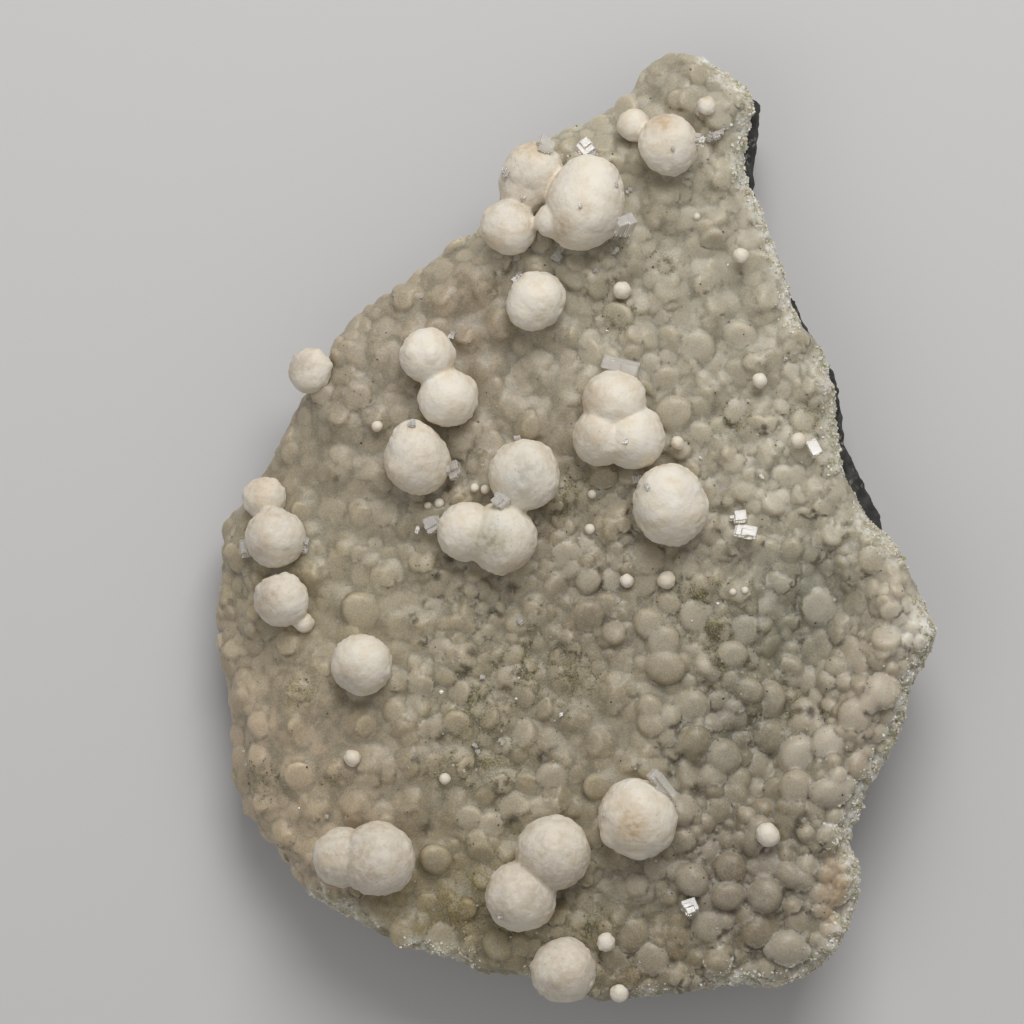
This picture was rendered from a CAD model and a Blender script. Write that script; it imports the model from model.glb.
"""Looks of a gyrolite specimen.

Cream balls of gyrolite sit on a waxy crust of chalcedony lumps, with clear blocky crystals between
them, on a slab of dark basalt. The slab lies on its flat back and the camera looks down on it. +X is
to the specimen's right, +Y up its face and +Z out of it. Sizes in the classes are in millimetres,
and the meshes are made in metres, as the frame is.
"""

import logging
import math
import random
from collections.abc import Callable, Iterable, Iterator
from dataclasses import dataclass, field
from enum import Enum
from itertools import product
from typing import Any, NamedTuple

import bmesh
import bpy
import numpy as np
from mathutils import Euler, Matrix, Vector, noise
from mathutils.bvhtree import BVHTree
from mathutils.kdtree import KDTree


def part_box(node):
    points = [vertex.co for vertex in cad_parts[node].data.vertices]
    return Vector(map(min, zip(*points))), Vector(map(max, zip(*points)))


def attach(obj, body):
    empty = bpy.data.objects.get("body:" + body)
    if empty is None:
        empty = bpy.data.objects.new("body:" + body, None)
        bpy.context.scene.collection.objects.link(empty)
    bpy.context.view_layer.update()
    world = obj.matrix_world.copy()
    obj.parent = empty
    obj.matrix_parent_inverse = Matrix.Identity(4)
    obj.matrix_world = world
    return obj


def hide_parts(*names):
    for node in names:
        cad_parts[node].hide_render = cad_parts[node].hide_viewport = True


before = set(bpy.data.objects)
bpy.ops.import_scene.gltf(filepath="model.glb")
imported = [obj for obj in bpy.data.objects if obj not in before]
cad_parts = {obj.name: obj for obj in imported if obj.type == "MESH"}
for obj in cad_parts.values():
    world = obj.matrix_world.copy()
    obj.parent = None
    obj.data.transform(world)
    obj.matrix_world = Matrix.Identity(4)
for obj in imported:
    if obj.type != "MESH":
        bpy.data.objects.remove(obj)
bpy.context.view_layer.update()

LOG = logging.getLogger("gyrolite_specimen")

MM = 0.001
BODY = "root"
MERGE = 1e-6  # metres, within which the points of a copied solid are one
LARGE_LUMP = 1.7  # the radius from which a lump is made more finely
BATCH = 60  # rounded bodies made in one small bmesh, because a large one slows its operators down
STONE_IOR = 1.54  # of chalcedony, quartz and gyrolite
Triple = tuple[float, float, float]
Colour = Triple
Place = tuple[float, float]
Span = tuple[float, float]  # a smallest and a largest value
Spot = tuple[Place, float]  # a place and how far it reaches
Maker = Callable[[bmesh.types.BMesh], None]  # adds one body to a bmesh
Modifier = tuple[str, dict[str, Any]]  # its type and its settings

# The right and lower sides are broken, clockwise from the top corner
BROKEN_EDGE: tuple[Place, ...] = (
    (35.0, 110.0), (39.5, 107.0), (43.0, 104.0), (41.0, 92.5), (40.0, 85.0),
    (45.5, 74.5), (51.0, 58.5), (52.5, 50.0), (60.0, 42.5), (60.0, 38.5), (62.5, 31.0),
    (62.5, 23.0), (64.0, 13.0), (71.0, 0.5), (77.0, -5.0), (84.0, -19.0), (87.0, -27.0),
    (84.0, -33.0), (79.5, -39.5), (79.0, -46.0), (76.0, -55.0), (68.5, -65.0), (68.0, -71.0),
    (64.5, -74.0), (68.5, -85.5), (67.0, -93.5), (63.0, -101.0), (57.0, -108.0), (49.5, -111.5),
    (39.0, -110.5), (18.5, -113.5), (5.5, -115.0), (-10.5, -108.5), (-23.5, -108.5),
    (-26.5, -104.5), (-38.0, -102.5), (-49.0, -97.5), (-59.5, -91.5),
)


class Stain(Enum):
    """What discolours the gyrolite, as a linear colour."""

    OCHRE = (0.44, 0.27, 0.10)
    BROWN = (0.27, 0.185, 0.105)
    OLIVE = (0.23, 0.22, 0.13)
    GREY = (0.25, 0.26, 0.22)


class Zone(NamedTuple):
    """A soft-edged region of the crust, with its colour."""

    place: Place
    reach: float
    colour: Colour


class Mark(NamedTuple):
    """A discoloured place on a ball."""

    place: Place
    reach: float
    stain: Stain
    share: float


class Lump(NamedTuple):
    """A rounded body, in millimetres."""

    centre: Vector
    radius: float
    squash: float = 1.0


class Pad(NamedTuple):
    """A lump of the crust, in millimetres.

    Its axis points out of the crust, and its three sides are shares of its radius, the last one along
    the axis. A fullness of 2 is an ellipsoid, and more gives a flatter top and a rounder edge. Its rise is
    how far it stands out of the plate, and lumps of one group have grown into one form.
    """

    centre: Vector
    radius: float
    axis: Vector
    sides: Triple
    spin: float
    fullness: float
    rise: float
    group: int = 0

    def reach(self, across: float, up: float) -> float:
        """How far out a place lies, by its ways across and up as shares of the lump's sides."""
        return (across**self.fullness + up**self.fullness) ** (1.0 / self.fullness)


class Crumb(NamedTuple):
    """A kind of grain on the crust, with its smallest and largest size in millimetres."""

    name: str
    count: int
    sizes: Span
    finish: str
    slot: str


def clamp(value: float, low: float = 0.0) -> float:
    """The value, kept between low and 1."""
    return min(1.0, max(low, value))


def smoothstep(low: float, high: float, values: np.ndarray) -> np.ndarray:
    """Values from 0 at low to 1 at high, with soft ends."""
    share = np.clip((values - low) / (high - low), 0.0, 1.0)
    return share * share * (3.0 - 2.0 * share)


def fade(places: np.ndarray, spot: Place, reach: float, power: int = 2) -> np.ndarray:
    """A soft round spot.

    Args:
        places: One row of x and y for each place, in millimetres.
        spot: Its middle.
        reach: How far it reaches.
        power: How steeply it ends.

    Returns:
        A number for each place, 1 in the middle and 0 well past the reach.
    """
    away = np.linalg.norm(places - np.array(spot), axis=1)
    return np.exp(-((away / reach) ** power))


def vectors(points: np.ndarray, shift: float = 0.0) -> list[Vector]:
    """The points as vectors, shifted so that noise doesn't repeat from piece to piece."""
    return [Vector(point) + Vector((shift, shift, shift)) for point in points]


def noise_at(places: list[Vector], size: float) -> np.ndarray:
    """Noise from about -1 to 1 at each place, with forms of this size."""
    return np.array([noise.noise(place / size) for place in places])


def drawn(chance: random.Random | np.random.Generator, low: float, high: float) -> list[float]:
    """Three numbers drawn between low and high."""
    return [chance.uniform(low, high) for _ in range(3)]


def any_way(chance: random.Random) -> Vector:
    """A vector that points any way, of any length."""
    return Vector([chance.gauss(0.0, 1.0) for _ in range(3)])


def distance_to_broken_edge(points: np.ndarray) -> np.ndarray:
    """How far places are from the broken edge.

    Args:
        points: One row of x and y for each place, in millimetres.

    Returns:
        One distance for each place.
    """
    nearest = np.full(len(points), np.inf)
    for start, end in zip(BROKEN_EDGE, BROKEN_EDGE[1:]):
        a, along = np.array(start), np.array(end) - np.array(start)
        share = np.clip((points - a) @ along / (along @ along), 0.0, 1.0)
        foot = a + share[:, None] * along
        nearest = np.minimum(nearest, np.linalg.norm(points - foot, axis=1))
    return nearest


def new_object(name: str, data: bpy.types.ID) -> bpy.types.Object:
    """Links a new object to the scene, at the origin.

    Args:
        name: Its name.
        data: Its mesh, light or camera.

    Returns:
        The object.
    """
    obj = bpy.data.objects.new(name, data)
    bpy.context.scene.collection.objects.link(obj)
    return obj


def evaluated(obj: bpy.types.Object) -> bpy.types.Mesh:
    """Applies an object's modifiers.

    Args:
        obj: The object, which is removed.

    Returns:
        A new mesh.
    """
    bpy.context.view_layer.update()
    graph = bpy.context.evaluated_depsgraph_get()
    result = bpy.data.meshes.new_from_object(obj.evaluated_get(graph), depsgraph=graph)
    bpy.data.objects.remove(obj)
    return result


def mesh_from(bm: bmesh.types.BMesh, name: str) -> bpy.types.Mesh:
    """The mesh of a bmesh, which is freed.

    Args:
        bm: The bmesh.
        name: The mesh's name.

    Returns:
        The mesh.
    """
    mesh = bpy.data.meshes.new(name)
    bm.to_mesh(mesh)
    bm.free()
    return mesh


def shaped(mesh: bpy.types.Mesh, *modifiers: Modifier) -> bpy.types.Mesh:
    """The mesh after modifiers.

    Args:
        mesh: The mesh to start from, which is removed.
        modifiers: The type of each modifier and its settings.

    Returns:
        A new mesh of the same name.
    """
    name = mesh.name
    obj = new_object(name, mesh)
    for kind, settings in modifiers:
        modifier = obj.modifiers.new(kind.lower(), kind)
        for key, value in settings.items():
            setattr(modifier, key, value)
    result = evaluated(obj)
    bpy.data.meshes.remove(mesh)
    result.name = name
    return result


def one_skin(voxel: float) -> Modifier:
    """A modifier that joins all that overlaps into one closed skin of this cell size."""
    return "REMESH", {"mode": "VOXEL", "voxel_size": voxel * MM}


def softened(iterations: int, factor: float = 0.5) -> Modifier:
    """A modifier that evens a skin out."""
    return "SMOOTH", {"factor": factor, "iterations": iterations}


def points_of(mesh: bpy.types.Mesh) -> np.ndarray:
    """The mesh's points, one row each, in millimetres.

    Args:
        mesh: The mesh.

    Returns:
        An array of three columns.
    """
    flat = np.empty(len(mesh.vertices) * 3, np.float32)
    mesh.vertices.foreach_get("co", flat)
    return flat.reshape(-1, 3).astype(float) / MM


def normals_of(mesh: bpy.types.Mesh) -> np.ndarray:
    """The normals at the mesh's points, one row each.

    Args:
        mesh: The mesh.

    Returns:
        An array of three columns.
    """
    flat = np.empty(len(mesh.vertices) * 3, np.float32)
    mesh.vertex_normals.foreach_get("vector", flat)
    return flat.reshape(-1, 3).astype(float)


def move_points(mesh: bpy.types.Mesh, points: np.ndarray) -> None:
    """Sets the mesh's points, given in millimetres."""
    mesh.vertices.foreach_set("co", (points * MM).astype(np.float32).ravel())
    mesh.update()


def store_share(mesh: bpy.types.Mesh, name: str, values: np.ndarray) -> None:
    """Keeps one number for each point, for the material to read."""
    attribute = mesh.attributes.new(name, "FLOAT", "POINT")
    attribute.data.foreach_set("value", values.astype(np.float32))


def store_colour(mesh: bpy.types.Mesh, name: str, colours: np.ndarray) -> None:
    """Keeps one linear colour for each point, for the material to read.

    Args:
        mesh: The mesh.
        name: The attribute's name.
        colours: One row for each point.
    """
    attribute = mesh.attributes.new(name, "FLOAT_COLOR", "POINT")
    opaque = np.concatenate([colours, np.ones((len(colours), 1))], axis=1)
    attribute.data.foreach_set("color", opaque.astype(np.float32).ravel())


def copied_solid(node: str) -> bpy.types.Mesh:
    """A copy of a solid of the frame, with its doubled points merged.

    Args:
        node: The solid's node.

    Returns:
        A mesh of its own.
    """
    bm = bmesh.new()
    bm.from_mesh(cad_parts[node].data)
    bmesh.ops.remove_doubles(bm, verts=bm.verts, dist=MERGE)
    return mesh_from(bm, node)


def box_of(node: str) -> tuple[Vector, Vector]:
    """The lowest and highest corners of a solid of the frame, in millimetres."""
    low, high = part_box(node)
    return low / MM, high / MM


def tree_of(mesh: bpy.types.Mesh) -> BVHTree:
    """Makes a mesh ready for looking up rays and nearest places.

    Args:
        mesh: The mesh, as it is now.

    Returns:
        Its search tree, in metres.
    """
    bm = bmesh.new()
    bm.from_mesh(mesh)
    tree = BVHTree.FromBMesh(bm)
    bm.free()
    return tree


def mark_cut_edges(mesh: bpy.types.Mesh, width: float) -> None:
    """Keeps 1 on the narrow faces of crystals, which are frosted, and 0 on the others.

    Args:
        mesh: The crystals.
        width: How wide a narrow face may be, in millimetres.
    """
    narrow = np.zeros(len(mesh.polygons), np.float32)
    for face in mesh.polygons:
        corners = [mesh.vertices[index].co for index in face.vertices]
        longest = max((corner - corners[number - 1]).length for number, corner in enumerate(corners))
        narrow[face.index] = face.area < longest * width * MM
    mesh.attributes.new("rim", "FLOAT", "FACE").data.foreach_set("value", narrow)


def triangles_in(mesh: bpy.types.Mesh) -> int:
    """How many triangles the mesh has."""
    mesh.calc_loop_triangles()
    return len(mesh.loop_triangles)


def open_edges_in(mesh: bpy.types.Mesh) -> int:
    """How many edges don't join exactly two faces, 0 in a closed mesh.

    Args:
        mesh: The mesh.

    Returns:
        The number.
    """
    edges = np.empty(len(mesh.loops), np.int32)
    mesh.loops.foreach_get("edge_index", edges)
    return int((np.bincount(edges, minlength=len(mesh.edges)) != 2).sum())


def build_in_batches(name: str, makers: Iterable[Maker]) -> bpy.types.Mesh:
    """One mesh of many small bodies.

    Args:
        name: The name of the mesh.
        makers: Functions that each add one body to the bmesh they are given.

    Returns:
        The mesh, in which the bodies are loose from each other.
    """
    whole = bmesh.new()
    makers = list(makers)
    for first in range(0, len(makers), BATCH):
        batch = bmesh.new()
        for maker in makers[first : first + BATCH]:
            maker(batch)
        mesh = mesh_from(batch, name)
        whole.from_mesh(mesh)
        bpy.data.meshes.remove(mesh)
    return mesh_from(whole, name)


def ball_maker(lump: Lump, subdivisions: int, turn: Euler | None = None) -> Maker:
    """A function that adds a rounded body to a bmesh.

    Args:
        lump: Its centre, radius and flattening along its own Z.
        subdivisions: How finely it is made.
        turn: Which way its own Z points, or None for up.

    Returns:
        The function.
    """
    matrix = Matrix.Translation(lump.centre * MM) @ (turn or Euler()).to_matrix().to_4x4()
    matrix = matrix @ Matrix.Diagonal((1.0, 1.0, lump.squash, 1.0))

    def add(bm: bmesh.types.BMesh) -> None:
        """Adds the body."""
        bmesh.ops.create_icosphere(bm, subdivisions=subdivisions, radius=lump.radius * MM, matrix=matrix)

    return add


def pad_maker(pad: Pad) -> Maker:
    """A function that adds a flat-topped, round-edged lump to a bmesh.

    Args:
        pad: Its place, size, direction and form.

    Returns:
        The function.
    """
    turn = pad.axis.to_track_quat("Z", "Y").to_matrix().to_4x4()
    matrix = Matrix.Translation(pad.centre * MM) @ turn @ Matrix.Rotation(pad.spin, 4, "Z")
    matrix = matrix @ Matrix.Diagonal((*(Vector(pad.sides) * pad.radius * MM), 1.0))
    subdivisions = 3 if pad.radius > LARGE_LUMP else 2

    def add(bm: bmesh.types.BMesh) -> None:
        """Adds the lump."""
        made = bmesh.ops.create_icosphere(bm, subdivisions=subdivisions, radius=1.0)
        for vert in made["verts"]:
            vert.co /= pad.reach(math.hypot(vert.co.x, vert.co.y), abs(vert.co.z))
        bmesh.ops.transform(bm, matrix=matrix, verts=made["verts"])

    return add


def block_maker(centre: Vector, size: Vector, turn: Euler) -> Maker:
    """A function that adds a plain block to a bmesh.

    Args:
        centre: Its centre, in millimetres.
        size: Its three sides.
        turn: How it is turned.

    Returns:
        The function.
    """
    place = Matrix.Translation(centre * MM) @ turn.to_matrix().to_4x4()

    def add(bm: bmesh.types.BMesh) -> None:
        """Adds the block."""
        made = bmesh.ops.create_cube(bm, size=1.0, matrix=Matrix.Diagonal((*(size * MM), 1.0)))
        bmesh.ops.transform(bm, matrix=place, verts=made["verts"])

    return add


def crystal_maker(centre: Vector, size: Vector, turn: Euler, chance: random.Random) -> Maker:
    """A function that adds a crystal with stepped faces and cut edges to a bmesh.

    Args:
        centre: Its centre, in millimetres.
        size: Its three sides.
        turn: How it is turned.
        chance: What its steps are drawn from.

    Returns:
        The function.
    """
    place = Matrix.Translation(centre * MM) @ turn.to_matrix().to_4x4()
    place = place @ Matrix.Diagonal((*(size * MM), 1.0))
    steps = []
    for _ in range(chance.randint(3, 5)):
        side, part = Vector(), Vector([chance.choice((-1.0, 0.0, 1.0)) for _ in range(3)])
        axis = chance.randrange(3)
        side[axis] = 1.0 if axis == 2 else chance.choice((-1.0, 1.0))
        part[axis] = 0.0
        steps.append((side, part, chance.uniform(0.06, 0.20)))

    def add(bm: bmesh.types.BMesh) -> None:
        """Adds the crystal."""
        own = bmesh.new()
        bmesh.ops.create_cube(own, size=0.84)
        bmesh.ops.subdivide_edges(own, edges=own.edges[:], cuts=2, use_grid_fill=True)
        for side, part, rise in steps:
            own.normal_update()
            level = max(vert.co.dot(side) for vert in own.verts) - 1e-4
            faces = []
            for face in own.faces:
                middle = face.calc_center_median()
                inside = all(part[axis] * middle[axis] > -0.1 for axis in range(3) if part[axis])
                if face.normal.dot(side) > 0.9 and middle.dot(side) > level and inside:
                    faces.append(face)
            grown = bmesh.ops.extrude_face_region(own, geom=faces)
            risen = [made for made in grown["geom"] if isinstance(made, bmesh.types.BMVert)]
            bmesh.ops.translate(own, verts=risen, vec=side * rise)
            bmesh.ops.delete(own, geom=faces, context="FACES")
        bmesh.ops.remove_doubles(own, verts=own.verts[:], dist=1e-5)
        bmesh.ops.dissolve_limit(own, angle_limit=0.02, verts=own.verts[:], edges=own.edges[:])
        edges = [edge for edge in own.edges if edge.calc_face_angle(0.0) > 0.5]
        bmesh.ops.bevel(own, geom=edges, offset=0.035, affect="EDGES", segments=1, profile=0.5, material=-1)
        bmesh.ops.transform(own, matrix=place, verts=own.verts[:])
        mesh = mesh_from(own, "crystal")
        bm.from_mesh(mesh)
        bpy.data.meshes.remove(mesh)

    return add


class Ground:
    """Meshes to stand things on, looked for straight down."""

    def __init__(self, *meshes: bpy.types.Mesh) -> None:
        """Takes the meshes as they are now."""
        self.trees = [tree_of(mesh) for mesh in meshes]

    def top(self, x: float, y: float) -> tuple[Vector, Vector] | None:
        """Looks for the highest point over a place.

        Args:
            x: Where it is, in millimetres.
            y: The same, up the face.

        Returns:
            The point in millimetres and the normal there, or None beside the meshes.
        """
        above, down = Vector((x * MM, y * MM, 1.0)), Vector((0.0, 0.0, -1.0))
        hits = []
        for tree in self.trees:
            point, normal, _, _ = tree.ray_cast(above, down)
            if point is not None:
                hits.append((point / MM, normal))
        return max(hits, key=lambda hit: hit[0].z) if hits else None


class Value:
    """A socket that takes part in arithmetic. Each operator adds its Math node."""

    def __init__(self, finish: "Finish", socket: bpy.types.NodeSocket) -> None:
        """Wraps an output of the finish's node tree."""
        self.finish = finish
        self.socket = socket

    def _with(self, operation: str, first: Any, second: Any) -> "Value":
        """The output of a Math node on two values."""
        made = self.finish.node("ShaderNodeMath", {"operation": operation}, {0: first, 1: second})
        return Value(self.finish, made.outputs[0])

    def __add__(self, other: Any) -> "Value":
        """This plus the other."""
        return self._with("ADD", self, other)

    def __radd__(self, other: Any) -> "Value":
        """The other plus this."""
        return self._with("ADD", other, self)

    def __sub__(self, other: Any) -> "Value":
        """This minus the other."""
        return self._with("SUBTRACT", self, other)

    def __rsub__(self, other: Any) -> "Value":
        """The other minus this."""
        return self._with("SUBTRACT", other, self)

    def __mul__(self, other: Any) -> "Value":
        """This times the other."""
        return self._with("MULTIPLY", self, other)

    def __rmul__(self, other: Any) -> "Value":
        """The other times this."""
        return self._with("MULTIPLY", other, self)

    def above(self, low: float, high: float) -> "Value":
        """0 under low, 1 over high, with soft ends."""
        ends = {"Value": self, "From Min": low, "From Max": high}
        made = self.finish.node("ShaderNodeMapRange", {"interpolation_type": "SMOOTHSTEP"}, ends)
        return Value(self.finish, made.outputs["Result"])

    def below(self, low: float, high: float) -> "Value":
        """1 under low, 0 over high, with soft ends."""
        return 1.0 - self.above(low, high)


class Finish:
    """A material under construction: one Principled shader and what feeds it."""

    def __init__(self, name: str, **constants: Any) -> None:
        """Starts a material.

        Args:
            name: The material's name.
            constants: Values for the shader's sockets, with _ for a space in their names.
        """
        self.material = bpy.data.materials.new(name)
        self.material.use_nodes = True
        self.tree = self.material.node_tree
        self.tree.nodes.clear()
        self.output = self.node("ShaderNodeOutputMaterial")
        self.shader = self.node("ShaderNodeBsdfPrincipled")
        self.tree.links.new(self.shader.outputs[0], self.output.inputs["Surface"])
        self.position = self.node("ShaderNodeTexCoord").outputs["Object"]
        for key, value in constants.items():
            self.feed(self.shader.inputs[key.replace("_", " ")], value)

    def feed(self, socket: bpy.types.NodeSocket, value: Any) -> None:
        """Links or sets an input, whichever the value calls for.

        Args:
            socket: The input.
            value: What feeds it: a Value, another socket, a colour or a number.
        """
        source = value.socket if isinstance(value, Value) else value
        if isinstance(source, bpy.types.NodeSocket):
            self.tree.links.new(source, socket)
        elif isinstance(value, tuple) and socket.type == "RGBA" and len(value) == 3:
            socket.default_value = (*value, 1.0)
        else:
            socket.default_value = value

    def node(
        self, kind: str, settings: dict[str, Any] | None = None, inputs: dict[Any, Any] | None = None
    ) -> bpy.types.Node:
        """Adds any node.

        Args:
            kind: The node's type.
            settings: Its own settings, which are set first.
            inputs: What feeds its sockets, by name or number.

        Returns:
            The node.
        """
        node = self.tree.nodes.new(kind)
        for key, value in (settings or {}).items():
            setattr(node, key, value)
        for key, value in (inputs or {}).items():
            self.feed(node.inputs[key], value)
        return node

    def share(self, name: str) -> Value:
        """A number kept on the mesh's points."""
        return Value(self, self.node("ShaderNodeAttribute", {"attribute_name": name}).outputs["Fac"])

    def colour(self, name: str) -> Value:
        """A colour kept on the mesh's points."""
        return Value(self, self.node("ShaderNodeAttribute", {"attribute_name": name}).outputs["Color"])

    def moved(self, shift: float, stretch: Triple = (1.0, 1.0, 1.0)) -> bpy.types.NodeSocket:
        """Object coordinates in millimetres, shifted so that patterns don't repeat each other.

        Args:
            shift: How far they are shifted along each axis.
            stretch: How much denser a pattern is along each axis.

        Returns:
            The coordinates.
        """
        scale = tuple(side / MM for side in stretch)
        inputs = {"Vector": self.position, "Location": (shift, shift, shift), "Scale": scale}
        return self.node("ShaderNodeMapping", None, inputs).outputs["Vector"]

    def clouds(
        self, size: float, shift: float, detail: float = 2.0, stretch: Triple = (1.0, 1.0, 1.0)
    ) -> Value:
        """Soft noise from 0 to 1.

        Args:
            size: How large its forms are, in millimetres.
            shift: Where the pattern is read, so that two of them differ.
            detail: How many finer layers it has.
            stretch: How much denser it is along each axis.

        Returns:
            The noise.
        """
        inputs = {"Vector": self.moved(shift, stretch), "Scale": 1.0 / size, "Detail": detail}
        made = self.node("ShaderNodeTexNoise", None, inputs | {"Roughness": 0.55})
        return Value(self, made.outputs["Fac"])

    def _cells(self, size: float, shift: float) -> bpy.types.Node:
        """A node of scattered cells of this size."""
        inputs = {"Vector": self.moved(shift), "Scale": 1.0 / size}
        return self.node("ShaderNodeTexVoronoi", {"feature": "F1"}, inputs)

    def specks(self, spacing: float, radius: float, shift: float, share: float) -> Value:
        """Small round dots.

        Args:
            spacing: How far apart their cells are, in millimetres.
            radius: The radius of a dot.
            shift: Where the pattern is read.
            share: How many of the cells have a dot.

        Returns:
            1 in a dot and 0 outside.
        """
        cells = self._cells(spacing, shift)
        distance = Value(self, cells.outputs["Distance"])
        parted = self.node("ShaderNodeSeparateColor", None, {"Color": cells.outputs["Color"]})
        chosen = Value(self, parted.outputs[0]).below(share - 0.01, share + 0.01)
        size = Value(self, parted.outputs[1]) * 0.6 + 0.4
        reach = size * (radius / spacing)
        return (reach - distance).above(-0.02, 0.03) * chosen

    def cells(self, size: float, shift: float) -> Value:
        """The distance from the middle of a cell, 0 there and towards 1 at its rim."""
        return Value(self, self._cells(size, shift).outputs["Distance"])

    def mix(self, factor: Any, first: Any, second: Any) -> Value:
        """Two colours mixed, the first at a factor of 0 and the second at 1."""
        made = self.node("ShaderNodeMix", {"data_type": "RGBA"}, {0: factor, 6: first, 7: second})
        return Value(self, made.outputs[2])

    def dress(self, base: Any, roughness: Any = None, height: Any = None, relief: float = 0.1) -> None:
        """Feeds the shader.

        Args:
            base: The base colour, or None to leave it as it is.
            roughness: The roughness, or None.
            height: A height from 0 to 1 for the bump.
            relief: How high 1 is, in millimetres.
        """
        inputs = {"Base Color": base, "Roughness": roughness}
        if height is not None:
            bump = {"Height": height, "Strength": 1.0, "Distance": relief * MM}
            inputs["Normal"] = self.node("ShaderNodeBump", None, bump).outputs["Normal"]
        for name, value in inputs.items():
            if value is not None:
                self.feed(self.shader.inputs[name], value)

    def absorb(self, colour: Colour, density: float) -> None:
        """Gives a clear material the colour that it takes on with thickness."""
        volume = self.node("ShaderNodeVolumeAbsorption", None, {"Color": colour, "Density": density})
        self.tree.links.new(volume.outputs[0], self.output.inputs["Volume"])


@dataclass(frozen=True)
class ChalcedonyFinish:
    """Waxy, translucent lumps, with olive dirt low down and a whitish rind where the crust is broken."""

    rim_colour: Colour = (0.72, 0.68, 0.58)
    pale_colour: Colour = (0.54, 0.50, 0.41)
    milky_colour: Colour = (0.66, 0.61, 0.53)
    deep_colour: Colour = (0.155, 0.145, 0.095)
    crease_colour: Colour = (0.12, 0.095, 0.05)
    crack_colour: Colour = (0.075, 0.054, 0.024)
    dirt_colour: Colour = (0.12, 0.09, 0.04)
    moss_colour: Colour = (0.33, 0.30, 0.145)
    rind_colour: Colour = (0.82, 0.79, 0.70)
    rind_beige: Colour = (0.56, 0.48, 0.35)
    rind_green: Colour = (0.36, 0.37, 0.19)
    rock_colour: Colour = (0.46, 0.35, 0.23)
    glow_depth: float = 4.4

    def material(self) -> bpy.types.Material:
        """The material of the crust.

        Returns:
            The finished material.
        """
        finish = Finish(
            "chalcedony_wax",
            Subsurface_Weight=1.0,
            Subsurface_Radius=(1.0, 0.85, 0.62),
            Subsurface_Scale=self.glow_depth * MM,
            IOR=STONE_IOR,
        )
        patchy = finish.clouds(2.4, 17.0, 3.0)
        fine = finish.clouds(0.42, 71.0, 3.0)
        base = self._lumps(finish, patchy)
        base = finish.mix((fine - 0.46) * 0.9, base, self.rim_colour)
        base = finish.mix((0.50 - fine) * 0.9, base, self.deep_colour)
        dirt = finish.share("dirt") * patchy.above(0.36, 0.54)
        soil = finish.mix(fine.above(0.42, 0.58), self.dirt_colour, self.moss_colour)
        base = finish.mix(dirt * 0.9, base, soil)
        fibres = finish.clouds(1.1, 41.0, 4.0, (0.4, 1.0, 1.0))
        rock, rind = finish.share("rock"), finish.share("rind")
        base = finish.mix(rock * (0.55 + 0.45 * fibres), base, self.rock_colour)
        base = finish.mix(rind * fibres.above(0.30, 0.50) * 0.9, base, self._rind(finish))
        finish.dress(base, 0.47 + 0.2 * rind + 0.2 * dirt)
        return finish.material

    def _lumps(self, finish: Finish, patchy: Value) -> Value:
        """The colour of the lumps: high ones milky, low ones deep, with pale rims and dark feet.

        Args:
            finish: The material under construction.
            patchy: Soft noise that breaks the tones up.

        Returns:
            The colour.
        """
        tint = finish.share("tint")
        base = finish.mix(patchy.above(0.42, 0.70) * 0.16, finish.colour("ground"), self.pale_colour)
        base = finish.mix((tint - 0.5) * 0.90, base, self.milky_colour)
        base = finish.mix((0.5 - tint) * 1.20, base, self.deep_colour)
        uneven = finish.clouds(3.4, 67.0).above(0.36, 0.60)
        base = finish.mix(finish.share("rim") * uneven * 0.70, base, self.rim_colour)
        shade = finish.share("shade") * (0.25 + 0.5 * patchy.above(0.4, 0.65))
        base = finish.mix(shade, base, self.crease_colour)
        return finish.mix(finish.share("crack") * (0.62 + 0.38 * uneven), base, self.crack_colour)

    def _rind(self, finish: Finish) -> Value:
        """The colour of the broken rind: milky white, beige and a little green.

        Args:
            finish: The material under construction.

        Returns:
            The colour.
        """
        beige = finish.clouds(3.2, 91.0, 4.0).above(0.46, 0.62)
        green = finish.clouds(4.6, 97.0, 3.0).above(0.54, 0.64) * 0.8
        return finish.mix(green, finish.mix(beige, self.rind_colour, self.rind_beige), self.rind_green)


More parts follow.
